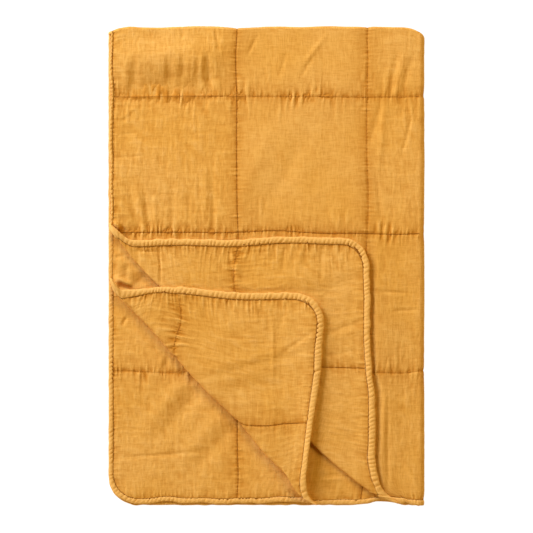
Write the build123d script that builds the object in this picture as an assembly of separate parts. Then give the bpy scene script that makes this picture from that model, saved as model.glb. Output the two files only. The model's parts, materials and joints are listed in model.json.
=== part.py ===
from build123d import *
import math
import os

os.makedirs("parts", exist_ok=True)

# A bound and quilted cotton throw, folded in four, with two corners turned back.
# The first fold is across the throw (far end, +Y), the second along it (side, +X),
# so the four corners of the throw lie together at -X -Y. From the top the stack is
# top, second, third and bottom panel. The corner of the top panel is turned back on
# it, and the corner of the second panel is turned back over that one.
# Lengths are millimetres, +Z is up, and the throw rests on z = 0.

# Folded size.
folded_width = 590.0
folded_length = 892.0

# One quilted layer: face cloth, wadding and backing cloth, inside a bound edge.
cloth = 0.5
wadding = 3.4
layer = wadding + 2 * cloth
layer_gap = 0.6
pitch = layer + layer_gap
binding_width = 12.0
corner_radius = 56.0

# Quilting: a machine-stitched grid, counted from the bound side and end.
thread_width = 0.9
thread_height = 0.2
first_column = 240.0
column_pitch = 243.0
first_row = 251.0
row_pitch = 255.0

# Folds. A close fold turns one layer on itself, and a nested fold goes round two.
close_inner = layer_gap / 2
close_outer = close_inner + layer
nested_inner = close_inner + pitch
nested_outer = nested_inner + layer

# The two corner folds run along x + y = constant, and clear their panels a little.
first_corner_line = -243.0
second_corner_line = -345.0
corner_clearance = 0.3

# Edges of the flat panels, and the height of the fold that each pair shares.
left = -folded_width / 2
near = -folded_length / 2
right = folded_width / 2 - nested_outer
far = folded_length / 2 - close_outer
side_fold_z = 2 * pitch - layer_gap / 2
upper_fold_z = side_fold_z + pitch
lower_fold_z = side_fold_z - pitch
corner_fold_z = side_fold_z + 2 * pitch

# The side fold opens about the crease line of its outer layer.
side_hinge_x = right + nested_inner + layer / 2


def outline(inset):
    """The flat panel, less a margin along its bound side, bound end and corner."""
    radius = corner_radius - inset
    x0, y0 = left + inset, near + inset
    with BuildSketch() as sketch:
        with BuildLine():
            Line((x0, far), (x0, y0 + radius))
            JernArc((x0, y0 + radius), (0, -1), radius, 90)
            Line((x0 + radius, y0), (right, y0))
            Line((right, y0), (right, far))
            Line((right, far), (x0, far))
        make_face()
    return sketch.sketch


def beyond(line_sum):
    """Everything on the far side of the diagonal x + y = line_sum."""
    reach = 2 * (folded_width + folded_length)
    with BuildSketch(Plane((line_sum / 2, line_sum / 2, 0))) as sketch:
        with Locations(Rot(0, 0, 45) * Pos(reach / 2, 0, 0)):
            Rectangle(reach, reach)
    return sketch.sketch


def slab(flat, z, height):
    """A flat shape made solid upwards from height z."""
    return extrude(Pos(0, 0, z) * flat, amount=height, dir=(0, 0, 1))


def quilting_lines():
    """The grid of quilting stitches as one flat shape, over the whole panel."""
    lines = Sketch()
    x = left + first_column
    while x < right:
        lines += Pos(x, (near + far) / 2, 0) * Rectangle(thread_width, far - near)
        x += column_pitch
    y = near + first_row
    while y < far:
        lines += Pos((left + right) / 2, y, 0) * Rectangle(right - left, thread_width)
        y += row_pitch
    return lines


def panel(z, face_up, keep):
    """The five pieces of one quilted layer, from height z up.

    keep cuts a flat shape to the part of the panel that this piece of throw has.
    """
    whole, inner, core = (keep(outline(m)) for m in (0, binding_width, cloth))
    under, over = slab(inner, z, cloth), slab(inner, z + layer - cloth, cloth)
    filling = slab(core, z + cloth, wadding)
    thread = slab(keep(quilting_lines() & outline(binding_width)), z + layer, thread_height)
    return {
        "face": over if face_up else under,
        "wadding": filling,
        "backing": under if face_up else over,
        "binding": slab(whole, z, layer) - slab(inner, z, layer) - filling,
        "quilting": thread,
    }


def turned(pieces, line_sum):
    """Pieces turned over about the diagonal x + y = line_sum at the corner folds."""
    centre = (line_sum / 2, line_sum / 2, corner_fold_z)
    hinge = Axis(centre, (1, -1, 0))
    return {name: piece.rotate(hinge, 180) for name, piece in pieces.items()}


def half_ring(plane, inner, outer, start, end):
    """Half of a tube, bulging along the plane's x, from start to end along its z."""
    section = Circle(outer) - Circle(inner) if inner > 0 else Circle(outer)
    section &= Pos(outer, 0, 0) * Rectangle(2 * outer, 4 * outer)
    return extrude(plane * Pos(0, 0, start) * section, amount=end - start)


def fold(plane, inner, length, bound_start, bound_end, face_out):
    """The four pieces of a fold: three layers round each other, and bound ends."""
    start, end = bound_start, length - bound_end
    radii = (inner, inner + cloth, inner + cloth + wadding, inner + layer)
    names = ("backing", "wadding", "face") if face_out else ("face", "wadding", "backing")
    pieces = {
        name: half_ring(plane, r0, r1, start, end)
        for name, r0, r1 in zip(names, radii, radii[1:])
    }
    binding = [half_ring(plane, inner, inner + layer, 0, start)]
    if bound_end:
        binding.append(half_ring(plane, inner, inner + layer, end, length))
    pieces["binding"] = Compound(children=[ring.solid() for ring in binding])
    return pieces


def side_fold(inner, face_out):
    """A fold along the +X side, from the bound near end to the far fold."""
    plane = Plane((right, near, side_fold_z), x_dir=(1, 0, 0), z_dir=(0, 1, 0))
    return fold(plane, inner, far - near, binding_width, 0, face_out)


def end_fold(z):
    """A fold along the +Y end, from the bound side to the side fold."""
    plane = Plane((left, far, z), x_dir=(0, 1, 0), z_dir=(1, 0, 0))
    return fold(plane, close_inner, right - left, binding_width, 0, True)


def corner_fold(line_sum, inner, face_out):
    """A fold along a corner's diagonal, which ends inside both bound edges."""
    margin = inner + layer + corner_clearance
    run = Vector(1, -1, 0).normalized()
    start = Vector(left, line_sum - left, corner_fold_z) + run * margin
    length = (line_sum - left - near) * math.sqrt(2) - 2 * margin
    plane = Plane(start, x_dir=(-1, -1, 0), z_dir=run)
    bound = binding_width * math.sqrt(2) - margin / 2
    return fold(plane, inner, length, bound, bound, face_out)


def kept_beyond(line_sum):
    """What a panel keeps when its corner is turned back along this diagonal."""
    return lambda flat: flat & beyond(line_sum + corner_clearance)


def turned_part(line_sum):
    """The corner that is turned back along this diagonal, before it is turned."""
    return lambda flat: flat - beyond(line_sum - corner_clearance)


def whole_panel(flat):
    """A panel with no corner turned back."""
    return flat


def groups():
    """Every panel, corner and fold of the folded throw, by name."""
    top_z, second_z = 3 * pitch, 2 * pitch
    first, second = first_corner_line, second_corner_line
    return {
        "top_panel": panel(top_z, True, kept_beyond(first)),
        "second_panel": panel(second_z, False, kept_beyond(second)),
        "third_panel": panel(pitch, True, whole_panel),
        "bottom_panel": panel(0, False, whole_panel),
        "first_corner": turned(panel(top_z, True, turned_part(first)), first),
        "second_corner": turned(panel(second_z, False, turned_part(second)), second),
        "outer_side_fold": side_fold(nested_inner, True),
        "inner_side_fold": side_fold(close_inner, False),
        "upper_end_fold": end_fold(upper_fold_z),
        "lower_end_fold": end_fold(lower_fold_z),
        "first_corner_fold": corner_fold(first, close_inner, False),
        "second_corner_fold": corner_fold(second, nested_inner, True),
    }


for group, pieces in groups().items():
    for piece, shape in pieces.items():
        export_step(Compound(children=list(shape.solids())), f"parts/{group}_{piece}.step")

corner_hinges = [round(c / 2, 2) for c in (first_corner_line, second_corner_line)]
print("side hinge x, z:", round(side_hinge_x, 2), side_fold_z)
print("corner hinges x = y:", corner_hinges, "z:", corner_fold_z)
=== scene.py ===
import json
import math
from dataclasses import dataclass

import bpy
import numpy as np
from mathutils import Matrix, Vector


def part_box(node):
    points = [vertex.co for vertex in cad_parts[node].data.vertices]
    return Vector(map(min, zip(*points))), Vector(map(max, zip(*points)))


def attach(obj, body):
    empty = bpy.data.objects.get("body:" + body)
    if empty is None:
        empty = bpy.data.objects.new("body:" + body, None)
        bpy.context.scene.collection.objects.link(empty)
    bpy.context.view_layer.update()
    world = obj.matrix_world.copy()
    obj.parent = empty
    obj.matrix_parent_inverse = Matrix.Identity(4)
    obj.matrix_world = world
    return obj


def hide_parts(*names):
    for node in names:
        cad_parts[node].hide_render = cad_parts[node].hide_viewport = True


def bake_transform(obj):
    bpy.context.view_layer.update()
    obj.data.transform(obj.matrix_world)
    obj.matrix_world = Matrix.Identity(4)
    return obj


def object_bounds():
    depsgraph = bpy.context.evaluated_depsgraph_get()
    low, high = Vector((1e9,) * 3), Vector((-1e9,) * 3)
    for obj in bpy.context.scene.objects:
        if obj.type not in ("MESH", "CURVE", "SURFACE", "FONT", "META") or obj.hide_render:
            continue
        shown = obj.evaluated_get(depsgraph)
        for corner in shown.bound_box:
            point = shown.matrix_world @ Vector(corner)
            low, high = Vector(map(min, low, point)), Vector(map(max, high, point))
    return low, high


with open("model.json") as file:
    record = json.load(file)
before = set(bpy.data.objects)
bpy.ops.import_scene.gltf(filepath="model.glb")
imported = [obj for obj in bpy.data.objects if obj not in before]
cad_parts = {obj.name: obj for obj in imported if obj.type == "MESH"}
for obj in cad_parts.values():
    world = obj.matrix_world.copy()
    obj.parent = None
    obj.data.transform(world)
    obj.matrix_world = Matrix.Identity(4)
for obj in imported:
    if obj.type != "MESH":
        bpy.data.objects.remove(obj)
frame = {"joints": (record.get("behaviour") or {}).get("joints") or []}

# A quilted, bound cotton throw, folded in four, with two corners turned back.
# Lengths are metres. Every piece of cloth is drawn on its own flat panel first,
# with x across and y along, and place() then folds it, as the CAD model does.

CAD_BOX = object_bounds()
MM = 0.001
ROOT2 = math.sqrt(2)

# Sizes and levels of the CAD model.
LEFT, NEAR = CAD_BOX[0].x, CAD_BOX[0].y
RIGHT, FAR = (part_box("top_panel_binding")[1][axis] for axis in (0, 1))
HALF = (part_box("top_panel_binding")[1].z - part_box("top_panel_binding")[0].z) / 2
JOINTS = {joint["name"]: joint for joint in frame["joints"]}


def middle(panel):
    """Height of the middle of a panel's cloth."""
    low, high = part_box(f"{panel}_binding")
    return (low.z + high.z) / 2


SIDE_Z = JOINTS["side_fold_opening"]["pos_m"][2]
OUTER_RADIUS = middle("top_panel") - SIDE_Z
INNER_RADIUS = middle("second_panel") - SIDE_Z
END_RADIUS = (OUTER_RADIUS - INNER_RADIUS) / 2

# Quilting grid, counted from the bound edges, and the bound edge itself. WIDENED is how
# much wider the tape lies on a turned-back corner, where it isn't curled.
FIRST_COLUMN, COLUMN_PITCH = 240 * MM, 243 * MM
FIRST_ROW, ROW_PITCH = 251 * MM, 255 * MM
CORNER_RADIUS = 56 * MM
TAPE = 12 * MM
TAPE_SEAM = 10.7 * MM
WIDENED = 0.22
STITCH_PITCH = 3.2 * MM

# Where the quilted cloth starts, under its tape, and the spacings of its meshes.
QUILT_INSET = 8 * MM
FINE, MEDIUM, COARSE = 2 * MM, 3 * MM, 4 * MM
TAPE_STEP, END_ROLL_STEP = 1.3 * MM, 0.6 * MM

# How far the weave is shifted from one sheet, side or tape to the next, so that no two
# look the same.
SHEET_SHIFT, SIDE_SHIFT, TAPE_SHIFT = 1.7, 7.3, 3.1


@dataclass
class Drift:
    """How a hand-folded corner lies, against straight lines. Knots are in mm.

    across and along move the fold itself, by place along it. top and side move the
    corner's two free edges, by x and by y. panel_reach is how far into the panel the
    fold's drift is felt, and flap_reach how far into the corner. Each slide shifts the
    cloth round one place: turned or not, the place, its size, and the shift.
    """

    across: tuple
    along: tuple
    top: tuple
    side: tuple
    panel_reach: tuple
    flap_reach: float
    slides: tuple


@dataclass
class Sheet:
    """One quarter of the throw with its turned-back corner, if it has one."""

    name: str
    seed: int
    corner: str = ""
    roll: float = 0.0
    reach: float = 0.0
    drift: Drift = None
    rolls_up: bool = False

    def __post_init__(self):
        self.z = middle(self.name)
        self.line = None
        if self.corner:
            x, y, self.axis_z = JOINTS[self.corner + "_opening"]["pos_m"]
            self.line = x + y
            self.radius = self.axis_z - self.z
            self.leg = self.line - LEFT - NEAR


FIRST_DRIFT = Drift(
    across=((-245, 17), (-227, 15), (-207, 13), (-189, 10), (-143, 6), (-113, 6), (0, 4),
            (150, 3), (292, 2), (336, 5), (381, 8.5), (427, 14.5), (448, 21), (459, 31)),
    along=((-245, -14), (-232, -4), (-215, 0), (427, 0), (442, 6), (451, 18), (459, 30)),
    top=((-295, 30), (-288, 22), (-275, 6), (-261, -1.8), (-240, -3.4), (-200, -1.5),
         (0, -0.5), (100, 3.6), (150, 3)),
    side=((-446, 44), (-435, 28), (-426, 17), (-411, 7.4), (-386, 0.7), (-369, -2),
          (-327, 0), (-278, 1.6), (-244, 2), (-196, -5), (-150, -8.6), (0, -8.6)),
    panel_reach=((-245, 13), (-180, 20), (400, 40), (459, 34)),
    flap_reach=45 * MM,
    slides=((1, -50, -5, 70, 60, -14, 0), (0, -80, 62, 300, 22, 0, 4.5)),
)
SECOND_DRIFT = Drift(
    across=((-173, 22), (-167, 21), (-151, 17.3), (-133, 17.1), (-28, 17.1), (32, 15.3),
            (105, 9.7), (170, 11.1), (231, 4), (309, 2.6), (365, 1.9), (387, 2.8)),
    along=((-173, -16), (-165, -9), (-150, -2), (-135, 0), (-80, -18), (0, -34), (40, -33),
           (100, -14), (160, 0), (387, 0)),
    top=((-295, 29), (-291, 24), (-283, 10), (-272, 6.8), (-254, 5.7), (-227, 7.8),
         (-187, 10), (-146, 10.4), (-66, 5.7), (5, 1.2), (40, 0)),
    side=((-446, -8), (-440, -14), (-429, -21), (-414, -25.2), (-394, -25.2), (-352, -20.3),
          (-311, -16.1), (-261, -10.3), (-227, -4.7), (-196, 0.9), (-161, 2.7), (-126, 4.6)),
    panel_reach=((-173, 13), (-120, 20), (387, 20)),
    flap_reach=60 * MM,
    slides=((0, 175, -440, 45, 60, -13, 0), (1, -150, -60, 60, 50, -13, 0)),
)
TOP = Sheet("top_panel", 1, "first_corner", 3 * FINE / ROOT2, 30 * MM, FIRST_DRIFT)
SECOND = Sheet("second_panel", 2, "second_corner", 9 * FINE / ROOT2, 60 * MM, SECOND_DRIFT, True)
THIRD = Sheet("third_panel", 3)
BOTTOM = Sheet("bottom_panel", 4, rolls_up=True)
ABOVE = {"second_panel": TOP, "bottom_panel": THIRD}

# What each part of the throw is cut from, whether it is a turned-back corner, and the
# groups of CAD nodes that it stands for.
PARTS = {
    "top_panel": (TOP, False, ("top_panel",)),
    "first_corner": (TOP, True, ("first_corner", "first_corner_fold")),
    "second_corner": (SECOND, True, ("second_corner", "second_corner_fold")),
    "second_panel": (SECOND, False, ("second_panel", "upper_end_fold")),
    "third_panel": (THIRD, False, ("third_panel",)),
    "bottom_panel": (BOTTOM, False, ("bottom_panel", "lower_end_fold")),
    "side_fold": (None, False, ("outer_side_fold", "inner_side_fold")),
}


# ---- curves and fields

def smooth(t):
    """0 below 0, 1 above 1, and a smooth step between."""
    t = np.clip(t, 0, 1)
    return t * t * (3 - 2 * t)


def waves(x, y, across, along, seed, count=22):
    """A smooth random field of about unit size. Its features' lengths are given in mm."""
    rng = np.random.default_rng(seed)
    field = np.zeros(np.broadcast(x, y).shape)
    for angle, size, phase in zip(
        (np.arange(count) + rng.uniform(0, 1, count)) * math.pi / count,
        rng.uniform(0.7, 1.5, count),
        rng.uniform(0, 2 * math.pi, count),
    ):
        kx = 2 * math.pi * size * math.cos(angle) / (across * MM)
        ky = 2 * math.pi * size * math.sin(angle) / (along * MM)
        field += np.cos(kx * x + ky * y + phase)
    return field * math.sqrt(2 / count)


def curve(at, knots):
    """A smooth curve through (position, value) knots in mm, level past its ends."""
    where, value = np.array(knots, float).T * MM
    slope = np.gradient(value, where)
    slope[[0, -1]] = 0
    at = np.clip(at, where[0], where[-1])
    i = np.clip(np.searchsorted(where, at) - 1, 0, len(where) - 2)
    span = where[i + 1] - where[i]
    t = (at - where[i]) / span
    rise = (3 - 2 * t) * t * t
    lean = slope[i] * t * (1 - t) ** 2 - slope[i + 1] * t * t * (1 - t)
    return value[i] * (1 - rise) + value[i + 1] * rise + span * lean


def hill(x, y, at_x, at_y, wide, long):
    """A rounded rise, 1 high, at a place given in mm."""
    return np.exp(-(((x - at_x * MM) / (wide * MM)) ** 2) - ((y - at_y * MM) / (long * MM)) ** 2)


def bell(value, width):
    """A bell curve: 1 where the value is zero, and fading over the width beside it."""
    return np.exp(-((value / width) ** 2))


def fade(distance, reach):
    """1 at no distance, and fading away over a reach given in mm."""
    return np.exp(-distance / (reach * MM))


# ---- cloth surface

def to_nearest(value, first, pitch, last):
    """Distance to the nearest of a row of seams."""
    distance = np.full(np.shape(value), 1.0)
    seam = first
    while seam < last:
        distance = np.minimum(distance, np.abs(value - seam))
        seam += pitch
    return distance


def seam_distances(sheet, x, y):
    """Distances to the nearest seam along y, along x, and to the bound edge's seam."""
    column = to_nearest(x - LEFT, FIRST_COLUMN, COLUMN_PITCH, RIGHT - LEFT + TAPE)
    row = to_nearest(y - NEAR, FIRST_ROW, ROW_PITCH, FAR - NEAR + TAPE)
    return column, row, edge_distance(x, y) / widening(sheet, x, y) - TAPE_SEAM


def widening(sheet, x, y):
    """How much wider the binding lies on a turned-back corner, where it is not curled."""
    if sheet.line is None:
        return 1.0
    return 1 + WIDENED * smooth((sheet.line - x - y) / ROOT2 / (30 * MM))


def edge_distance(x, y):
    """Distance in from the bound edges, with the throw's rounded corner."""
    in_x, in_y = x - LEFT, y - NEAR
    from_centre = np.hypot(CORNER_RADIUS - in_x, CORNER_RADIUS - in_y)
    in_corner = (in_x < CORNER_RADIUS) & (in_y < CORNER_RADIUS)
    return np.where(in_corner, CORNER_RADIUS - from_centre, np.minimum(in_x, in_y))


def crease(x, y, at_x, at_y, turn, length, width, height):
    """A soft fold: its middle, direction in degrees, half size and height."""
    c, s = math.cos(math.radians(turn)), math.sin(math.radians(turn))
    over, up = x / MM - at_x, y / MM - at_y
    along, across = (over * c + up * s) / length, (up * c - over * s) / width
    return height * MM * np.exp(-(along**4) - across**2)


# Creases of each panel and turned-back corner: rows for crease(), in mm and degrees.
CREASES = {
    "top_panel": [
        (-182, 396, 2, 100, 26, 7.5), (-182, 372, 2, 95, 20, 3.2), (-188, 328, 3, 90, 22, -4),
        (-246, 355, 88, 32, 8, -2.8), (-262, 352, 86, 34, 6, 1.4), (-181, 366, 92, 26, 7, -2.3),
        (-155, 372, 90, 20, 6, -2.1), (-108, 358, 94, 36, 5, -3.2), (-119, 362, 94, 36, 5, 1.6),
        (-90, 350, 95, 30, 5, 0.9), (-157, 434, 90, 12, 3, -1.1), (-92, 421, 100, 20, 3, -1.3),
        (-26, 413, 64, 18, 3, -1.3), (-115, 300, 80, 16, 4, -1.4), (-250, 290, 40, 20, 5, 1.3),
        (-255, 283, 40, 20, 4, -1.3), (-258, 247, 5, 16, 3, -1.1), (-255, 205, 4, 30, 3, -1),
        (-100, 120, 92, 55, 6, -1.7), (-114, 130, 91, 50, 7, 1.3), (-247, 105, 104, 45, 6, -2),
        (-235, 110, 100, 45, 5, 1.7), (-222, 100, 98, 40, 4, -1.6), (-208, 98, 92, 40, 4, 1.3),
        (-174, 112, 94, 40, 5, -1.5), (-145, 105, 90, 35, 4, -1.1), (90, 404, 52, 30, 5, 1.3),
        (30, 375, 75, 22, 4, -1.2), (75, 372, 60, 20, 4, -1), (-20, 190, 65, 80, 16, 1.4),
        (30, 165, 60, 70, 14, -1.1), (235, 350, 80, 45, 5, -1.6), (248, 352, 80, 45, 6, 1.4),
        (262, 360, 70, 35, 6, -1.2), (204, 270, 74, 40, 6, -1.5), (217, 262, 84, 80, 6, 1.5),
        (262, 245, 76, 40, 3, -1.3), (212, 105, 96, 60, 4, -1), (232, -48, 178, 26, 3, -1.3),
        (258, -82, 2, 22, 2.8, -1.5), (226, -340, 90, 85, 3.5, -1.5),
        (218, -300, 88, 60, 5, 0.9), (268, -385, 118, 50, 4, 1.2), (197, -200, 91, 240, 42, 5),
        (-277, 75, 128, 11, 4.2, 8.5), (-265, 63, 122, 12, 5, -6),
    ],
    "first_corner": [
        (-222, 28, 0, 30, 2.2, -2), (-239, 0, 90, 20, 3, -1.3), (-198, 0, 91, 34, 2.2, -2.2),
        (-66, 5, 100, 30, 4, -2), (-57, 0, 100, 30, 5, 1.2), (32, 12, 84, 26, 4, -1.1),
        (60, 15, 80, 26, 5, 1.2), (104, 12, 84, 34, 4.5, -1.4), (30, -30, 15, 100, 16, 1.6),
        (100, -50, 22, 80, 12, -1.4), (150, -112, 18, 40, 5, -1), (150, -124, 16, 40, 7, 0.8),
        (145, -160, 10, 42, 5, -1),
    ],
    "second_corner": [
        (-20, -168, 16, 110, 10, 1), (-20, -183, 14, 110, 9, -0.9), (60, -140, 35, 35, 4, -1.2),
        (-20, -225, 10, 60, 18, -2), (12, -150, 90, 60, 3.5, 1.2), (-70, -72, 100, 22, 5, -1.5),
        (-115, -75, 95, 22, 5, -1.2), (-20, -85, 100, 20, 5, 1.3), (30, -95, 80, 22, 5, -1.1),
    ],
    "second_panel": [
        (-262, -4, 125, 30, 12, 4), (-222, -30, 135, 26, 16, -3.8),
        (-266, -29, -29, 18, 3.8, 8), (-264, -39.5, -12, 14, 4.5, -5),
        (-262, -12, 85, 18, 6, -2.6), (-272, 19, 12, 14, 2.5, -2.6), (-270, 25, 12, 14, 3, 1.6),
        (-256, 13.5, 0, 8, 2.5, -2.2), (-232, -24, 30, 20, 4, -1.3),
        (-226, -36, 14, 20, 3, 1.2), (128, -397, 4, 22, 3, 1.4), (112, -392, 4, 24, 3, -1.2),
    ],
    "third_panel": [
        (-175, -240, 50, 80, 14, 2.2), (-150, -262, 50, 80, 13, -1.8),
        (-105, -300, 48, 80, 14, 1.8), (-85, -325, 48, 70, 12, -1.6),
        (-200, -352, 4, 70, 3.5, -1.5), (-263, -98, 62, 12, 3, -2.4),
        (-186, -172, 84, 20, 5, -2), (-195, -166, 84, 20, 4, 1.4),
        (-202, -140, 70, 20, 4, -1.4),
    ],
}


def gathered(sheet, x, y):
    """Where the top panel is drawn up into stronger gathers, against 1 elsewhere."""
    if sheet is not TOP:
        return 1.0
    return 1 + 1.1 * hill(x, y, -175, 95, 85, 48) + 0.5 * hill(x, y, -175, 355, 95, 45)


def puckered(field, waviness, depth, width=0.3):
    """Relief of a random field in mm: its waves, and narrow valleys where it is zero."""
    return MM * (waviness * field - depth * bell(field, width))


def quilting(sheet, x, y):
    """Rise of the cloth from its middle, with seam valleys and their puckers."""
    column, row, bound = seam_distances(sheet, x, y)
    seam = np.minimum(np.minimum(column, row), np.maximum(bound, 0))
    puff = np.minimum(np.minimum(column, row), 2.5 * np.maximum(bound, 0))
    rise = HALF * (0.45 + 0.55 * (1 - fade(puff, 16)))
    for distance in (column, row):
        rise -= 0.8 * MM * bell(distance, 1.6 * MM)
    seed = sheet.seed
    patchy = 0.55 + 0.45 * waves(x, y, 90, 90, seed + 30)
    close = waves(x, y, 7.5, 60, seed + 10)
    wide = waves(x, y, 14, 110, seed + 15)
    level = waves(x, y, 60, 6.5, seed + 20)
    near_row = fade(row, 11) * gathered(sheet, x, y)
    fine = waves(x, y, 4.6, 40, seed + 12)
    rise += near_row * (puckered(close, 0.45, 0.8, 0.35) + 0.36 * MM * fine)
    gathers = fade(row, 34) * np.clip(patchy, 0, 1.3) ** 2 * gathered(sheet, x, y)
    rise += gathers * puckered(wide, 0.5, 0.9)
    rise += fade(column, 10) * puckered(level, 0.34, 0.55)
    at_side = (x - LEFT) < (y - NEAR)
    flap = (widening(sheet, x, y) - 1) / WIDENED * at_side
    near_bound = (1 + 0.6 * flap) * fade(np.maximum(bound, 0), 11 + 11 * flap)
    edge = np.where(at_side, level, close)
    rise += near_bound * puckered(edge, 0.42, 0.45)
    return rise, seam


def worn(sheet, x, corner):
    """How wrinkled a part of the throw is. The middle of the top panel lies smoothest."""
    if corner or sheet is not TOP:
        return 1.5
    return 1.8 - 1.3 * smooth((x + 0.10) / 0.06) * (1 - 0.6 * smooth((x - 0.19) / 0.04))


def crinkle(sheet, x, y):
    """The fine, mostly lengthways wrinkles of washed double gauze."""
    seed = sheet.seed
    lengthways = waves(x, y, 12, 80, seed + 40)
    crossways = waves(x, y, 90, 14, seed + 50)
    diagonal = waves(x + y, x - y, 34, 90, seed + 60)
    fine = waves(x, y, 6, 22, seed + 70)
    return MM * (
        0.08 * lengthways
        + 0.06 * crossways
        + 0.10 * diagonal
        + 0.06 * fine
        - 0.24 * bell(lengthways, 0.16) * smooth(0.5 + diagonal)
        - 0.18 * bell(crossways, 0.14) * smooth(0.3 - diagonal)
    )


def undulation(sheet, x, y):
    """The slow rise and fall of cloth that was folded by hand."""
    seed = sheet.seed
    return MM * (
        0.36 * waves(x, y, 140, 210, seed + 80)
        + 0.17 * waves(x, y, 50, 110, seed + 90)
    )


def turned_outside(sheet, x, y):
    """Distance outside the footprint of a sheet's turned-back corner."""
    across = x - (sheet.line - NEAR + curve(y, sheet.drift.side))
    along = y - (sheet.line - LEFT + curve(x, sheet.drift.top))
    return np.maximum(np.maximum(across, along), (sheet.line - x - y) / ROOT2)


def uncovered(sheet, turned, x, y):
    """Distance by which a point is clear of the cloth that lies on it."""
    beside_top = (TOP.line - x - y) / ROOT2
    beside_second = (SECOND.line - x - y) / ROOT2 - 10 * MM
    outside_second = turned_outside(SECOND, x, y)
    clear = {
        "top_panel": np.where(turned > 0.5, outside_second, turned_outside(TOP, x, y)),
        "second_panel": np.where(turned > 0.5, 1.0, np.minimum(beside_top, outside_second)),
        "third_panel": beside_second,
        "bottom_panel": np.full(np.shape(x), -1.0),
    }
    return clear[sheet.name]


def surface(sheet, side, x, y, corner):
    """Distance of one side of the cloth from its middle, from its seams, and its relief.

    side is 1 for the side that is up on the flat panel, and -1 for the other.
    """
    world, turned = place(sheet, x, y, np.zeros_like(x))
    wx, wy = world[:, 0], world[:, 1]
    rise, seam = quilting(sheet, x, y)
    rise = rise + worn(sheet, x, corner) * crinkle(sheet, x + (side < 0) * 3.0, y)
    # The local relief, without the slow folds, sets the painted highlight and painted shade in
    # the cloth's colour.
    relief = (rise - HALF) / MM
    up = side * (1 - 2 * turned) > 0
    clear = np.where(up, uncovered(sheet, turned, wx, wy), -1.0)
    show = smooth(clear / (14 * MM))
    flat_near_fold = 1.0
    if sheet.line is not None:
        flat_near_fold = smooth(np.abs(diagonal(sheet, x, y)[0]) / (40 * MM))
    slow = undulation(sheet, wx, wy) * flat_near_fold * smooth(clear / (40 * MM))
    for row in CREASES.get(sheet.corner if corner else sheet.name, ()):
        slow = slow + crease(wx, wy, *row)
    beside = smooth((clear + 4 * MM) / (6 * MM))
    rise = rise + show * np.maximum(slow, 0) + beside * np.minimum(slow, 0)
    room = HALF + np.maximum(clear, 0) * 0.5
    rise = np.minimum(rise, room)
    rise = np.maximum(rise, -HALF * 0.8)
    return rise, seam, relief


# ---- folding

def diagonal(sheet, x, y):
    """A place on the flat panel, across and along the line of the corner's fold."""
    return (x + y - sheet.line) / ROOT2, (x - y) / ROOT2


def turn_corner(sheet, x, y, out):
    """Folds the corner of a panel back over it, round its diagonal roll."""
    s, along = diagonal(sheet, x, y)
    size = np.abs(s)
    stretched = np.where(
        size < sheet.reach,
        np.maximum(size - sheet.roll, 0) * sheet.reach / (sheet.reach - sheet.roll),
        size,
    )
    share = np.clip((sheet.roll - s) / (2 * sheet.roll), 0, 1)
    angle = share * math.pi
    lever = sheet.radius - out
    across = stretched - lever * np.sin(angle)
    z = sheet.axis_z - lever * np.cos(angle)
    slip = np.sign(s) * (size - stretched)
    bulge = sheet.radius * np.sin(angle)
    along = along + (fade(x - LEFT, 40) - fade(y - NEAR, 40)) * (slip + bulge)
    return across, along, z, share


def drifted(sheet, across, along, turned):
    """Moves a folded panel and its corner from straight lines to where they lie."""
    drift = sheet.drift
    x = (sheet.line + (across + along) * ROOT2) / 2
    y = (sheet.line + (across - along) * ROOT2) / 2
    reach = curve(along, drift.panel_reach) * (1 - turned) + drift.flap_reach * turned

    def of_fold(across, along, reach):
        fades = bell(np.maximum(across, 0), reach)
        over, on = curve(along, drift.across), curve(along, drift.along)
        return fades * (over + on) / ROOT2, fades * (over - on) / ROOT2

    fold_x, fold_y = of_fold(across, along, reach)
    side_x, top_y = sheet.line - NEAR, sheet.line - LEFT
    at_side = of_fold(*diagonal(sheet, side_x, y), drift.flap_reach)[0]
    at_top = of_fold(*diagonal(sheet, x, top_y), drift.flap_reach)[1]
    free = smooth(3 * turned - 2)
    beside = free * bell(side_x - x, 0.16 * sheet.leg)
    below = free * bell(top_y - y, 0.13 * sheet.leg)
    new_x = x + fold_x + beside * (curve(y, drift.side) - at_side)
    new_y = y + fold_y + below * (curve(x, drift.top) - at_top)
    for on_corner, at_x, at_y, wide, long, shift_x, shift_y in drift.slides:
        here = hill(x, y, at_x, at_y, wide, long) * (turned if on_corner else 1 - turned)
        new_x, new_y = new_x + here * shift_x * MM, new_y + here * shift_y * MM
    return new_x, new_y


def common_drift(x, y):
    """Rounding of the stack's far corners, and seams that are not quite straight."""
    near_far = smooth((y - FAR + 0.07) / 0.07)
    right_drop = 17 * MM * np.clip((x - 0.235) / 0.06, 0, 1.2) ** 3
    left_drop = 11 * MM * np.clip((-0.2536 - x) / 0.0405, 0, 1.2) ** 1.5
    inside = smooth((x - LEFT) / 0.05) * smooth((RIGHT - x) / 0.03) * smooth((FAR - y) / 0.05)
    inside *= smooth((y - NEAR) / 0.05)
    across = 1.3 * MM * waves(x, y, 250, 200, 501) * inside
    along = 1.3 * MM * waves(x, y, 220, 300, 502) * inside
    along = along + 2.2 * MM * bell(y - 0.315, 0.07)
    along = along + 7 * MM * hill(x, y, 216, -446, 30, 16)
    far_wave = 1.1 * MM * waves(x, 0, 130, 1000, 503) * smooth((RIGHT - x) / 0.06)
    return across, along - near_far * (right_drop + left_drop - 1.4 * MM - far_wave)


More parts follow.
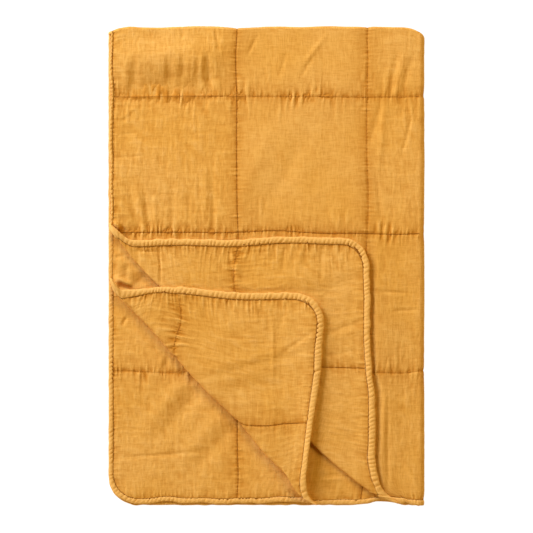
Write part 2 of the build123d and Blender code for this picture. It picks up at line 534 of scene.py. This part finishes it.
def lift(sheet, x, y, turned):
    """How far hand-folded cloth stands off the stack: at the tips and the free edges."""
    if sheet is TOP:
        tip = 8 * hill(x, y, -295, 60, 26, 18)
        side = 3.4 * bell(0.199 - x, 0.030) * smooth((y + 0.44) / 0.05)
        top = 2.5 * bell(0.051 - y, 0.016)
    else:
        tip = 7 * hill(x, y, -295, -34, 26, 18)
        side = 4 + 5.5 * bell(y + 0.34, 0.09)
        side = side * bell(0.09 - x, 0.030) * smooth((y + 0.44) / 0.05)
        top = 1.5 * bell(-0.044 - y, 0.016)
    free = smooth((x - LEFT) / 0.05)
    return MM * turned * (tip + np.maximum(side, top * free) * smooth(2 * turned - 1))


# How far each panel's bound side and bound end draw in from the edges below, in mm.
DRAWN = {"top_panel": (3.2, 3.0), "second_panel": (0, 2.0), "third_panel": (0, 4.0),
         "bottom_panel": (0, 0)}


def edge_curl(sheet, x, y):
    """How the bound edges of a panel draw in, and how its bound side curls under."""
    side, end = DRAWN[sheet.name]
    inward = x - LEFT
    uneven = 1 + 0.5 * waves(0, y, 1000, 90, 504)
    drawn = side * fade(inward, 10) * uneven
    curled = (4.0 if side else 2.4) * (1 - fade(inward, 6)) * fade(inward, 70)
    drawn_up = end * fade(y - NEAR, 50) * smooth((RIGHT - x) / 0.05)
    return MM * (drawn - curled), MM * drawn_up * (1 + 0.3 * waves(x, 0, 80, 1000, 505))


def place(sheet, x, y, out):
    """Where a point of the cloth lies, and how far its corner is turned, from 0 to 1.

    out is the point's distance from the middle of the cloth, upwards on the panel.
    """
    z = sheet.z + out
    turned = np.zeros_like(x)
    flat_y = y
    if sheet.rolls_up:
        angle = np.clip((y - FAR) / END_RADIUS, 0, math.pi)
        lever = END_RADIUS - out
        z = np.where(angle > 0, sheet.z + END_RADIUS - lever * np.cos(angle), z)
        y = np.where(angle > 0, FAR + lever * np.sin(angle), y)
    curl_x, curl_y = edge_curl(sheet, x, y)
    if sheet.line is None:
        x, y = x + curl_x, y + curl_y
    else:
        across, along, turned_z, turned = turn_corner(sheet, x, y, out)
        clear = (1 - turned) * smooth(2.0 * across / sheet.reach)
        x, y = drifted(sheet, across, along, turned)
        x, y = x + curl_x * clear, y + curl_y * clear
        z = np.where(flat_y < FAR - 0.1, turned_z + lift(sheet, x, y, turned), z)
    drift_x, drift_y = common_drift(x, y)
    return np.stack([x + drift_x, y + drift_y, z], -1), turned


# ---- meshes

def lattice_cells(inside):
    """The quads and edge triangles of a lattice's nodes that are inside."""
    index = np.cumsum(inside.ravel()).reshape(inside.shape) - 1
    corners = np.stack([index[:-1, :-1], index[1:, :-1], index[1:, 1:], index[:-1, 1:]], -1)
    held = np.stack([inside[:-1, :-1], inside[1:, :-1], inside[1:, 1:], inside[:-1, 1:]], -1)
    count = held.sum(-1)
    quads = corners[count == 4]
    triangles = corners[count == 3][held[count == 3]].reshape(-1, 3)
    return quads, triangles


def boundary(quads, triangles, total):
    """Directed edges that belong to one cell only."""
    edges = [np.stack([f[:, i], f[:, (i + 1) % f.shape[1]]], -1)
             for f in (quads, triangles) for i in range(f.shape[1])]
    edges = np.concatenate(edges)
    forward, backward = edges @ (total, 1), edges @ (1, total)
    return edges[~np.isin(forward, backward)]


def new_object(name, data):
    """An object in the scene."""
    made = bpy.data.objects.new(name, data)
    bpy.context.scene.collection.objects.link(made)
    return made


def make_mesh(name, points, faces, attributes):
    """A smooth mesh object from arrays of points and of faces with 3 or 4 corners."""
    mesh = bpy.data.meshes.new(name)
    mesh.vertices.add(len(points))
    mesh.vertices.foreach_set("co", points.astype(np.float32).ravel())
    corners = np.concatenate([f.ravel() for f in faces])
    sizes = np.concatenate([np.full(len(f), f.shape[1]) for f in faces])
    starts = np.concatenate([[0], np.cumsum(sizes)[:-1]])
    mesh.loops.add(len(corners))
    mesh.loops.foreach_set("vertex_index", corners.astype(np.int32))
    mesh.polygons.add(len(sizes))
    mesh.polygons.foreach_set("loop_start", starts.astype(np.int32))
    mesh.update(calc_edges=True)
    mesh.validate()
    mesh.polygons.foreach_set("use_smooth", np.ones(len(mesh.polygons), bool))
    mesh.set_sharp_from_angle(angle=math.radians(72))
    for key, values in attributes.items():
        kind = "FLOAT_VECTOR" if values.ndim == 2 else "FLOAT"
        slot = mesh.attributes.new(key, kind, "POINT")
        slot.data.foreach_set("vector" if values.ndim == 2 else "value",
                              values.astype(np.float32).ravel())
    return new_object(name, mesh)


def cloth_place(sheet, x, y, side):
    """Where a point is on the cloth, for its weave, different on each panel and side."""
    shift = sheet.seed * SHEET_SHIFT + (side < 0) * SIDE_SHIFT
    return np.stack([x + shift, y, np.full(len(x), shift)], -1)


def closed_sheet(name, sides, quads, triangles):
    """The two sides of a sheet, joined by a wall round its edge, as one closed mesh.

    Each side is its points, its places on the cloth, its seam distances and its relief.
    """
    total = len(sides[0][0])
    edges = boundary(quads, triangles, total)
    walls = np.stack([edges[:, 1], edges[:, 0], edges[:, 0] + total, edges[:, 1] + total], -1)
    faces = [quads, triangles, quads[:, ::-1] + total, triangles[:, ::-1] + total, walls]
    points, cloth, seam, height = (np.concatenate(pair) for pair in zip(*sides))
    return make_mesh(name, points, [f for f in faces if len(f)],
                     {"cloth": cloth, "seam": seam, "height": height})


def quilt(name, sheet, xs, ys, corner):
    """A closed quilted sheet over a lattice: the flat panel, or its turned-back corner."""
    x, y = (g.copy() for g in np.meshgrid(xs, ys, indexing="ij"))
    inside = edge_distance(x, y) >= QUILT_INSET - MM / 10
    if sheet.line is not None:
        cut = diagonal(sheet, x, y)[0] - sheet.roll
        inside &= (cut < MM / 10) if corner else (cut > -MM / 10)
    quads, triangles = lattice_cells(inside)
    used = np.unique(np.concatenate([quads.ravel(), triangles.ravel()]))
    renumber = np.full(inside.sum(), -1)
    renumber[used] = np.arange(len(used))
    quads, triangles = renumber[quads], renumber[triangles]
    x, y = x[inside][used], y[inside][used]
    sides = []
    for side in (1, -1):
        rise, seam, relief = surface(sheet, side, x, y, corner)
        if sheet.rolls_up:
            over = smooth((y - FAR) / (math.pi * END_RADIUS))
            above = surface(ABOVE[sheet.name], -side, x, np.full_like(y, FAR), False)[0]
            here = surface(sheet, side, x, np.minimum(y, FAR), False)[0]
            rise = np.where(over > 0, here * (1 - over) + above * over, rise)
        points, _ = place(sheet, x, y, side * rise)
        sides.append((points, cloth_place(sheet, x, y, side), seam, relief))
    return closed_sheet(name, sides, quads, triangles)


def steps(end, step, fine_end=None, fine=FINE):
    """Lattice lines from 0 to end, finer up to fine_end."""
    lines = np.arange(0, fine_end, fine) if fine_end else np.zeros(0)
    rest = np.arange(fine_end or 0, end - step / 2, step)
    return np.concatenate([lines, rest, [end]])


def lattice(step, fine_x=None, fine_y=None):
    """Lattice lines of a panel along x and along y, finer up to the given distances."""
    return LEFT + steps(RIGHT - LEFT, step, fine_x), NEAR + steps(FAR - NEAR, step, fine_y)


def main_quilts():
    """The four panels and the two turned-back corners."""
    roll = FAR + np.linspace(0, math.pi * END_RADIUS, 10)[1:]
    lattices = {
        "second_panel": lattice(MEDIUM),
        "third_panel": lattice(COARSE, 400 * MM, 416 * MM),
        "bottom_panel": lattice(COARSE),
    }
    made = {}
    for key, (sheet, corner, _) in PARTS.items():
        if sheet:
            xs, ys = lattices.get(key, lattice(FINE))
            if sheet.rolls_up and not corner:
                ys = np.concatenate([ys, roll])
            made[key] = quilt(f"{key}_quilt", sheet, xs, ys, corner)
    return made


# ---- binding

# Half the section of the folded tape: distance in from its outer edge, rise from the
# middle of the cloth, and how much the puckers move it. It dips at its stitching.
TAPE_SECTION = np.array([
    (11.8, 0.1, 0.0), (11.1, 0.45, 0.0), (10.5, 0.8, 0.2), (9.8, 1.6, 0.9), (8.8, 2.2, 1.2),
    (7.4, 2.6, 1.2), (5.8, 2.75, 1.1), (4.2, 2.7, 1.0), (2.7, 2.45, 0.8), (1.4, 1.95, 0.6),
    (0.5, 1.3, 0.35), (0.1, 0.5, 0.2),
]) * (MM, MM, 1)
TAPE_LOOP = [(s, 1) for s in TAPE_SECTION] + [(s, -1) for s in TAPE_SECTION[::-1]]

# How thick the tape is where another layer lies on it, as a share of its free thickness.
SNUG = 0.74


@dataclass
class Run:
    """A length of bound edge on the flat panel."""

    x: np.ndarray
    y: np.ndarray
    inward: np.ndarray
    along: np.ndarray
    mitre: np.ndarray


def straight_run(start, end, inward, mitre_start=0, mitre_end=0, step=TAPE_STEP):
    """A straight bound edge. A mitred end is cut at 45 degrees, for a corner's fold."""
    start, end = np.array(start, float), np.array(end, float)
    length = np.linalg.norm(end - start)
    t = np.linspace(0, length, max(3, round(length / step)))
    ahead = (end - start) / length
    points = start + t[:, None] * ahead
    mitre = mitre_start * (1 - smooth(t / 0.03)) + mitre_end * (1 - smooth((length - t) / 0.03))
    inward = np.tile(np.array(inward, float), (len(t), 1))
    return Run(points[:, 0], points[:, 1], inward, t, mitre)


def joined(*runs):
    """Runs one after another, as one."""
    along, base = [], 0.0
    for run in runs:
        along.append(run.along + base)
        base += run.along[-1]
    keep = [slice(0 if i == 0 else 1, None) for i in range(len(runs))]
    return Run(*(
        np.concatenate([values[k] for values, k in zip(column, keep)])
        for column in ([r.x for r in runs], [r.y for r in runs], [r.inward for r in runs],
                       along, [r.mitre for r in runs])))


def corner_run():
    """The rounded corner, from the bound side to the bound end."""
    count = round(CORNER_RADIUS * math.pi / 2 / TAPE_STEP)
    angle = np.linspace(math.pi, 1.5 * math.pi, count)
    unit = np.stack([np.cos(angle), np.sin(angle)], -1)
    centre = np.array([LEFT + CORNER_RADIUS, NEAR + CORNER_RADIUS])
    points = centre + CORNER_RADIUS * unit
    along = (angle - math.pi) * CORNER_RADIUS
    return Run(points[:, 0], points[:, 1], -unit, along, np.zeros(count))


def tape_points(sheet, run, inset, out):
    """Points of the tape at one distance in from the edge, along a run."""
    ahead = np.stack([np.gradient(run.x), np.gradient(run.y)], -1)
    ahead /= np.linalg.norm(ahead, axis=1, keepdims=True)
    inset = inset * widening(sheet, run.x, run.y)
    slip = run.mitre * inset
    x = run.x + run.inward[:, 0] * inset + ahead[:, 0] * slip
    y = run.y + run.inward[:, 1] * inset + ahead[:, 1] * slip
    return place(sheet, x, y, out)[0], x, y


def pucker(run, inset, seed):
    """The slanting, pillowy puckers of a top-stitched tape: 0 between, to 1 on top."""
    ahead_x, ahead_y = np.gradient(run.x), np.gradient(run.y)
    slant = -(ahead_x + ahead_y) / np.hypot(ahead_x, ahead_y)
    slant = slant * (0.05 + 0.02 * waves(run.along, 0, 60, 1000, seed + 2)) / MM
    wander = 0.8 * waves(run.along, 0, 44, 1000, seed)
    size = np.clip(0.8 + 0.25 * waves(run.along, 0, 28, 1000, seed + 1), 0.4, 1.2)
    phase = 2 * math.pi * (run.along / (8.2 * MM) + slant * inset) + wander
    return size * (np.abs(np.sin(phase / 2)) ** 0.7 - 0.75)


def tape_row(points, cloth, inset, bump):
    """A row of a tape: points, places on the cloth, distances to its seam, and relief."""
    # The relief sets painted highlight on the tops of the puckers and painted shade between them.
    return points, cloth, np.full(len(bump), abs(inset - TAPE_SEAM)), 0.7 + 2.8 * bump / MM


def tape(name, parts):
    """Folded binding tape along runs of bound edge. Each part is (sheet, run, over, under).

    over and under scale its thickness on the two sides of the cloth.
    """
    tubes = []
    for sheet, run, over, under in parts:
        rows = []
        wobble = 0.45 * MM * waves(run.along, 0, 30, 1000, sheet.seed + 300)
        for (inset, rise, moves), side in TAPE_LOOP:
            thick = over if side > 0 else under
            bump = 1.05 * MM * moves * pucker(run, inset, sheet.seed + 310)
            out = side * np.minimum(thick * (rise + bump), HALF if thick <= SNUG else 1.0)
            narrow = wobble * (1 - inset / TAPE)
            points, x, y = tape_points(sheet, run, inset + narrow, out)
            cloth = np.stack([x + sheet.seed * SHEET_SHIFT + TAPE_SHIFT, y, 0 * x], -1)
            rows.append(tape_row(points, cloth, inset, bump))
        tubes.append(rows)
    return tube_mesh(name, tubes, 1)


def tube_mesh(name, tubes, outward):
    """Closed tubes as one mesh. Each is rows of points, cloth, seam and relief arrays."""
    faces, base = [], 0
    for rows in tubes:
        loop, count = len(rows), len(rows[0][0])
        index = base + np.arange(count * loop).reshape(count, loop)
        a, b = index[:-1], index[1:]
        wall = np.stack([a, np.roll(a, -1, 1), np.roll(b, -1, 1), b], -1).reshape(-1, 4)
        caps = [
            np.stack([end[: loop // 2 - 1], end[1: loop // 2],
                      end[::-1][1: loop // 2], end[::-1][: loop // 2 - 1]], -1)
            for end in (index[0], index[-1])
        ]
        faces += [f[:, ::outward] for f in (wall, caps[0][:, ::-1], caps[1])]
        base += count * loop
    points, cloth, seam, height = (
        np.concatenate([np.concatenate(np.stack([row[i] for row in rows], 1)) for rows in tubes])
        for i in range(4))
    return make_mesh(name, points, faces, {"cloth": cloth, "seam": seam, "height": height})


def runs():
    """Every run of bound edge, by the piece that it belongs to."""
    made = {}
    for sheet, key in ((TOP, "top"), (SECOND, "second")):
        fold = sheet.line + sheet.roll * ROOT2
        at_left, at_near = (LEFT, fold - LEFT), (fold - NEAR, NEAR)
        made[key + "_side"] = straight_run(at_left, (LEFT, FAR), (1, 0), mitre_start=-1)
        made[key + "_end"] = straight_run(at_near, (RIGHT, NEAR), (0, 1), mitre_start=-1)
        made[key + "_corner"] = joined(
            straight_run(at_left, (LEFT, NEAR + CORNER_RADIUS), (1, 0), mitre_start=1),
            corner_run(),
            straight_run((LEFT + CORNER_RADIUS, NEAR), at_near, (0, 1), mitre_end=-1))
    made["whole"] = joined(
        straight_run((LEFT, FAR), (LEFT, NEAR + CORNER_RADIUS), (1, 0)),
        corner_run(),
        straight_run((LEFT + CORNER_RADIUS, NEAR), (RIGHT, NEAR), (0, 1)))
    turn = math.pi * END_RADIUS
    made["end_roll"] = straight_run(
        (LEFT, FAR), (LEFT, FAR + turn), (1, 0), step=END_ROLL_STEP)
    return made


def bindings():
    """The binding of each panel and corner."""
    run = runs()
    parts = {
        "top_panel": [(TOP, run["top_side"], 1.1, SNUG), (TOP, run["top_end"], 1.0, SNUG)],
        "second_panel": [
            (SECOND, run[key], SNUG, SNUG) for key in ("second_side", "second_end", "end_roll")],
        "third_panel": [(THIRD, run["whole"], 0.8, SNUG)],
        "bottom_panel": [
            (BOTTOM, run["whole"], SNUG, 0.72), (BOTTOM, run["end_roll"], SNUG, SNUG)],
        "first_corner": [(TOP, run["top_corner"], SNUG, 1.08)],
        "second_corner": [(SECOND, run["second_corner"], SNUG, 1.08)],
    }
    return {key: tape(f"{key}_tape", rows) for key, rows in parts.items()}


# ---- side fold

def side_fold_quilt():
    """The two nested layers of the side fold, joined round the end fold at its far end."""
    turns = np.linspace(0, math.pi, 15)
    share = smooth(turns / math.pi)
    ys = NEAR + steps(FAR - NEAR, COARSE)
    ys = ys[ys >= NEAR + QUILT_INSET]
    edge = np.full_like(ys, RIGHT)
    bends = np.linspace(0, math.pi, 9)[1:-1]
    y = np.concatenate([ys, np.full(len(bends), FAR), ys[::-1]])[:, None]
    bend = np.concatenate([0 * ys, bends, 0 * ys + math.pi])[:, None]
    mean = (OUTER_RADIUS + INNER_RADIUS) / 2
    sides = []
    for side in (1, -1):
        outer = surface(TOP, side, edge, ys, False), surface(BOTTOM, -side, edge, ys, False)
        inner = surface(SECOND, -side, edge, ys, False), surface(THIRD, side, edge, ys, False)
        (high, seam, relief), (low, _, _) = (
            [np.concatenate([o, np.full(len(bends), o[-1]), i[::-1]])[:, None]
             for o, i in zip(*pair)]
            for pair in zip(outer, inner)
        )
        rise = high * (1 - share) + low * share
        tube = END_RADIUS + side * rise
        lever = mean + tube * np.cos(bend)
        x, z = RIGHT + lever * np.sin(turns), SIDE_Z + lever * np.cos(turns)
        far_y = y + tube * np.sin(bend)
        far_y = far_y + common_drift(x, far_y)[1]
        on_cloth = RIGHT + (mean + END_RADIUS * np.cos(bend)) * turns + TOP.seed * SHEET_SHIFT
        cloth = np.stack([on_cloth, far_y, 0 * x], -1).reshape(-1, 3)
        points = np.stack([x, far_y, z], -1).reshape(-1, 3)
        sides.append((points, cloth, (seam + 0 * x).ravel(), (relief + 0 * x).ravel()))
    quads, triangles = lattice_cells(np.full((len(y), len(turns)), True))
    return closed_sheet("side_fold_quilt", sides, quads, triangles)


def side_fold_tape():
    """The bound near end of the side fold's two layers."""
    turns = np.linspace(0, math.pi, 23)
    tubes = []
    for radius in (OUTER_RADIUS, INNER_RADIUS):
        along = radius * turns
        rows = []
        for (inset, rise, moves), side in TAPE_LOOP:
            bump = 0.3 * MM * moves * np.sin(2 * math.pi * along / (7 * MM) + 0.09 * inset / MM)
            thick = np.minimum(SNUG * (rise + bump), min(HALF, radius - 0.2 * MM))
            lever = radius + side * thick
            y = np.full_like(turns, NEAR + inset)
            x, z = RIGHT + lever * np.sin(turns), SIDE_Z + lever * np.cos(turns)
            points, cloth = np.stack([x, y, z], -1), np.stack([RIGHT + along, y, 0 * y], -1)
            rows.append(tape_row(points, cloth, inset, bump))
        tubes.append(rows)
    return tube_mesh("side_fold_tape", tubes, -1)


# ---- stitches

def stitch_marks(sheet, corner):
    """Where each quilting stitch lies on the flat panel, and whether it runs along y."""
    marks = []
    column = LEFT + FIRST_COLUMN
    while column < RIGHT:
        y = np.arange(NEAR + TAPE, FAR, STITCH_PITCH)
        marks.append(np.stack([np.full_like(y, column), y, np.ones_like(y)], -1))
        column += COLUMN_PITCH
    row = NEAR + FIRST_ROW
    while row < FAR:
        x = np.arange(LEFT + TAPE, RIGHT, STITCH_PITCH)
        marks.append(np.stack([x, np.full_like(x, row), np.zeros_like(x)], -1))
        row += ROW_PITCH
    marks = np.concatenate(marks)
    if sheet.line is not None:
        cut = diagonal(sheet, marks[:, 0], marks[:, 1])[0]
        marks = marks[cut < -sheet.roll - MM] if corner else marks[cut > sheet.roll + MM]
    return marks


# A stitch's corners, along, across and up as shares of its half length, half width and
# height, its faces with four and with three corners, and how deep it sits in the cloth.
STITCH_SHAPE = np.array([
    (-1, 0, 0), (-0.6, 0.8, 0), (0.6, 0.8, 0), (1, 0, 0), (0.6, -0.8, 0), (-0.6, -0.8, 0),
    (-0.5, 0, 1), (0.5, 0, 1),
])
STITCH_FACES = (
    [(6, 7, 2, 1), (7, 6, 5, 4), (0, 1, 2, 3), (3, 4, 5, 0)],
    [(6, 1, 0), (7, 3, 2), (7, 4, 3), (6, 0, 5)],
)
STITCH_SIZE = 1.25 * MM, 0.45 * MM, 0.4 * MM
STITCH_SUNK = 0.1 * MM


def stitches(name, sheet, corner):
    """The quilting thread of a panel: a short raised stitch every few millimetres."""
    marks = stitch_marks(sheet, corner)
    long, wide, tall = STITCH_SIZE
    all_points, faces, base = [], ([], []), 0
    for side in (1, -1):
        rise = surface(sheet, side, marks[:, 0], marks[:, 1], corner)[0]
        for along, across, up in STITCH_SHAPE:
            lengthways = marks[:, 2]
            x = marks[:, 0] + np.where(lengthways, across * wide, along * long)
            y = marks[:, 1] + np.where(lengthways, along * long, across * wide)
            all_points.append(place(sheet, x, y, side * (rise - STITCH_SUNK + up * tall))[0])
        first = base + np.arange(len(marks))
        for shapes, made in zip(STITCH_FACES, faces):
            made += [np.stack([first + i * len(marks) for i in shape], -1) for shape in shapes]
        base += len(marks) * len(STITCH_SHAPE)
    points = np.concatenate(all_points)
    return make_mesh(name, points, [np.concatenate(made) for made in faces],
                     {"cloth": points, "seam": np.zeros(len(points))})


# ---- materials

class Nodes:
    """Short hand for building a material's node tree."""

    def __init__(self, name):
        self.material = bpy.data.materials.new(name)
        self.material.use_nodes = True
        self.tree = self.material.node_tree
        self.shader = self.tree.nodes["Principled BSDF"]

    def add(self, kind, inputs=None, **settings):
        node = self.tree.nodes.new(kind)
        for key, value in settings.items():
            setattr(node, key, value)
        for key, value in (inputs or {}).items():
            self.put(node.inputs[key], value)
        return node

    def put(self, socket, value):
        if isinstance(value, bpy.types.NodeSocket):
            self.tree.links.new(value, socket)
        else:
            socket.default_value = value

    def math(self, operation, a, b=0.0, c=0.0):
        return self.add("ShaderNodeMath", {0: a, 1: b, 2: c}, operation=operation).outputs[0]

    def mix(self, share, a, b):
        node = self.add("ShaderNodeMix", data_type="RGBA")
        self.put(node.inputs[0], share)
        self.put(node.inputs[6], a)
        self.put(node.inputs[7], b)
        return node.outputs[2]

    def ramp(self, value, low, high, most=1.0):
        """value taken from low..high to 0..most."""
        return self.add("ShaderNodeMapRange", {0: value, 1: low, 2: high, 4: most}).outputs[0]

    def noise(self, vector, scale, detail=2.0, size=1.0):
        scaled = self.add("ShaderNodeVectorMath", {0: vector, 1: scale}, operation="MULTIPLY")
        inputs = {"Vector": scaled.outputs[0], "Scale": size, "Detail": detail}
        return self.add("ShaderNodeTexNoise", inputs).outputs[0]


# The pale cloth and tape colours are both a paler dye tone and a painted highlight on raised
# cloth; the deep cloth colour is painted shade.
CLOTH_MAIN = (0.80, 0.428, 0.085, 1)
CLOTH_PALE_AND_HIGHLIGHT = (0.86, 0.508, 0.150, 1)
CLOTH_PAINTED_SHADE = (0.50, 0.175, 0.006, 1)
CLOTH_SHEEN = (1.0, 0.62, 0.20, 1)
TAPE_MAIN = (0.84, 0.475, 0.118, 1)
TAPE_PALE_AND_HIGHLIGHT = (0.86, 0.505, 0.150, 1)
# Painted shade for the seam grooves and needle holes.
SEAM_PAINTED_SHADE = (0.20, 0.058, 0.003, 1)
THREAD_DARK = (0.30, 0.105, 0.009, 1)
THREAD_LIGHT = (0.50, 0.19, 0.02, 1)


def cloth_material(name, main, light, seam_width, weave=1.0):
    """Washed, crinkled cotton gauze: a slubby open weave, dyed a little unevenly, with painted
    highlight on raised cloth and painted shade in its hollows, between its yarns and in its seam
    grooves.
    """
    n = Nodes(name)
    cloth = n.add("ShaderNodeAttribute", attribute_name="cloth").outputs["Vector"]
    seam = n.add("ShaderNodeAttribute", attribute_name="seam").outputs["Fac"]
    height = n.add("ShaderNodeAttribute", attribute_name="height").outputs["Fac"]
    lengthways = n.noise(cloth, (640, 60, 1))
    crossways = n.noise(cloth, (60, 640, 1))
    slubs = n.math("ADD", lengthways, crossways)
    dye = n.noise(cloth, (7, 7, 1), 3.0)
    yarn = n.noise(cloth, (1500, 1500, 1), 1.0)
    colour = n.mix(n.ramp(dye, 0.35, 0.65, 0.45), main, light)
    # Painted highlight on the raised cloth and painted shade in its low places, both from the
    # relief.
    colour = n.mix(n.ramp(height, -0.1, 0.9, 0.6), colour, light)
    colour = n.mix(n.ramp(height, 0.0, -2.0, 0.7), colour, CLOTH_PAINTED_SHADE)
    # Painted shade in the gaps between the yarns, where the weave noise is low.
    colour = n.mix(n.ramp(slubs, 1.10, 0.80, 0.34 * weave), colour, CLOTH_PAINTED_SHADE)
    # Painted shade along the seam grooves, broken into dots where the needle holes are.
    seam_shade = n.ramp(seam, seam_width, 0.2 * MM)
    stitched = n.ramp(n.noise(cloth, (330, 330, 1), 1.0), 0.32, 0.55)
    seam_shade = n.math("MULTIPLY", seam_shade, n.math("MULTIPLY_ADD", stitched, 0.55, 0.42))
    colour = n.mix(seam_shade, colour, SEAM_PAINTED_SHADE)
    n.put(n.shader.inputs["Base Color"], colour)
    n.put(n.shader.inputs["Roughness"], n.math("MULTIPLY_ADD", slubs, 0.08, 0.82))
    rough = n.math("ADD", n.math("MULTIPLY", slubs, 0.75 * weave), n.math("MULTIPLY", yarn, 0.25))
    bump = n.add("ShaderNodeBump", {"Strength": 0.8, "Distance": 0.6 * MM, "Height": rough})
    n.put(n.shader.inputs["Normal"], bump.outputs[0])
    n.shader.inputs["Specular IOR Level"].default_value = 0.04
    n.shader.inputs["Sheen Weight"].default_value = 0.05
    n.shader.inputs["Sheen Roughness"].default_value = 0.6
    n.shader.inputs["Sheen Tint"].default_value = CLOTH_SHEEN
    return n.material


def thread_material():
    """Matte cotton sewing thread, a little darker than the cloth, twisted."""
    n = Nodes("quilting_thread_cotton")
    place_on = n.add("ShaderNodeAttribute", attribute_name="cloth").outputs["Vector"]
    twist = n.noise(place_on, (2200, 2200, 2200), 1.0)
    colour = n.mix(twist, THREAD_DARK, THREAD_LIGHT)
    n.put(n.shader.inputs["Base Color"], colour)
    n.put(n.shader.inputs["Roughness"], n.math("MULTIPLY_ADD", twist, 0.1, 0.75))
    bump = n.add("ShaderNodeBump", {"Strength": 0.4, "Distance": 0.2 * MM, "Height": twist})
    n.put(n.shader.inputs["Normal"], bump.outputs[0])
    n.shader.inputs["Specular IOR Level"].default_value = 0.25
    return n.material


# ---- assembly

PLIES = ("face", "wadding", "backing")


def plies(*groups):
    """CAD nodes of the cloths and wadding of these groups."""
    return [f"{group}_{ply}" for group in groups for ply in PLIES]


# Parts that bend: the two bodies they join, and the groups below and above their bend.
BENDS = {
    "first_corner": ("upper_half", "first_corner", "top_panel", "first_corner"),
    "second_corner": ("upper_half", "second_corner", "second_panel", "second_corner"),
    "side_fold": ("lower_half", "upper_half", "third_panel", "second_panel"),
}


def ride_or_bend(piece, key):
    """Attaches a piece to the body its part of the throw moves with. A piece that bends is only
    baked where it lies.
    """
    if key not in BENDS:
        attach(piece, "upper_half" if key in ("top_panel", "second_panel") else "lower_half")
        return
    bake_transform(piece)


def panel_area(sheet, corner):
    """Flat size and area of the cloth in a panel or in its turned-back corner."""
    width, length = RIGHT - LEFT, FAR - NEAR
    leg = sheet.leg if sheet.line is not None else 0.0
    rounded = (1 - math.pi / 4) * CORNER_RADIUS**2
    if corner:
        return (leg, leg), leg * leg / 2 - rounded
    return (width, length), width * length - (leg * leg / 2 if leg else rounded)


def assemble():
    """Makes every piece, gives it its material, attaches it to the body it moves with unless it
    bends, and hides the CAD parts that it replaces.
    """
    face = cloth_material("face_cotton_gauze", CLOTH_MAIN, CLOTH_PALE_AND_HIGHLIGHT, 1.25 * MM)
    tape_cotton = cloth_material("binding_cotton", TAPE_MAIN, TAPE_PALE_AND_HIGHLIGHT, 1.3 * MM, 0.6)
    thread = thread_material()
    quilts, tapes = main_quilts(), bindings()
    quilts["side_fold"], tapes["side_fold"] = side_fold_quilt(), side_fold_tape()
    for key, (sheet, corner, groups) in PARTS.items():
        flat = (math.pi * (OUTER_RADIUS + INNER_RADIUS), FAR - NEAR)
        area = flat[0] * flat[1]
        made = [
            (quilts[key], face, "face_cloth", plies(*groups)),
            (tapes[key], tape_cotton, "binding_tape", [f"{group}_binding" for group in groups]),
        ]
        if sheet:
            flat, area = panel_area(sheet, corner)
            sewn = stitches(f"{key}_stitches", sheet, corner)
            made.append((sewn, thread, "quilting_thread", [f"{key}_quilting"]))
        for piece, material, slot, nodes in made:
            piece.data.materials.append(material)
            ride_or_bend(piece, key)
            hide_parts(*nodes)


# ---- stage

def plain_material(name, colour, glow):
    """A plain matte stage surface."""
    n = Nodes(name)
    n.shader.inputs["Base Color"].default_value = colour
    n.shader.inputs["Roughness"].default_value = 1.0
    n.shader.inputs["Specular IOR Level"].default_value = 0.0
    n.shader.inputs["Emission Color"].default_value = (1, 1, 1, 1)
    n.shader.inputs["Emission Strength"].default_value = glow
    return n.material


def area_light(name, place_at, size, power, colour):
    """A square soft light that points at the middle of the throw."""
    data = bpy.data.lights.new(name, "AREA")
    data.size, data.energy, data.color = size, power, colour
    light = new_object(name, data)
    light.location = place_at
    light.rotation_euler = Vector(place_at).to_track_quat("Z", "Y").to_euler()


def stage():
    """A pale floor, soft light from the upper left, and a camera straight above."""
    floor_mesh = bpy.data.meshes.new("floor")
    reach = 6.0
    floor_mesh.from_pydata(
        [(-reach, -reach, 0), (reach, -reach, 0), (reach, reach, 0), (-reach, reach, 0)],
        [], [(0, 1, 2, 3)])
    floor = new_object("floor", floor_mesh)
    floor.location.z = -0.3 * MM
    floor_mesh.materials.append(plain_material("floor_white", (0.10, 0.10, 0.10, 1), 1.0))

    area_light("key_light", (-4.6, 4.2, 3.0), 3.4, 582, (0.95, 1, 1.22))
    area_light("fill_light", (2.4, 3.0, 4.5), 2.6, 135, (1, 0.80, 0.40))
    area_light("rim_light", (4.6, -1.5, 1.6), 2.0, 18, (1, 0.72, 0.32))
    area_light("low_light", (-3.2, -4.4, 1.5), 2.0, 85, (1, 0.80, 0.45))
    world = bpy.data.worlds.new("studio")
    bpy.context.scene.world = world
    world.use_nodes = True
    world.node_tree.nodes["Background"].inputs[0].default_value = (1, 0.62, 0.07, 1)
    world.node_tree.nodes["Background"].inputs[1].default_value = 0.19
    bpy.context.scene.view_settings.view_transform = "Standard"

    camera_data = bpy.data.cameras.new("camera")
    camera = new_object("camera", camera_data)
    height, shown = 6.0, 0.992
    camera.location = (0, 0, height)
    camera_data.lens = camera_data.sensor_width * (height - CAD_BOX[1].z) / shown
    camera_data.clip_end = 50
    bpy.context.scene.camera = camera


assemble()
stage()
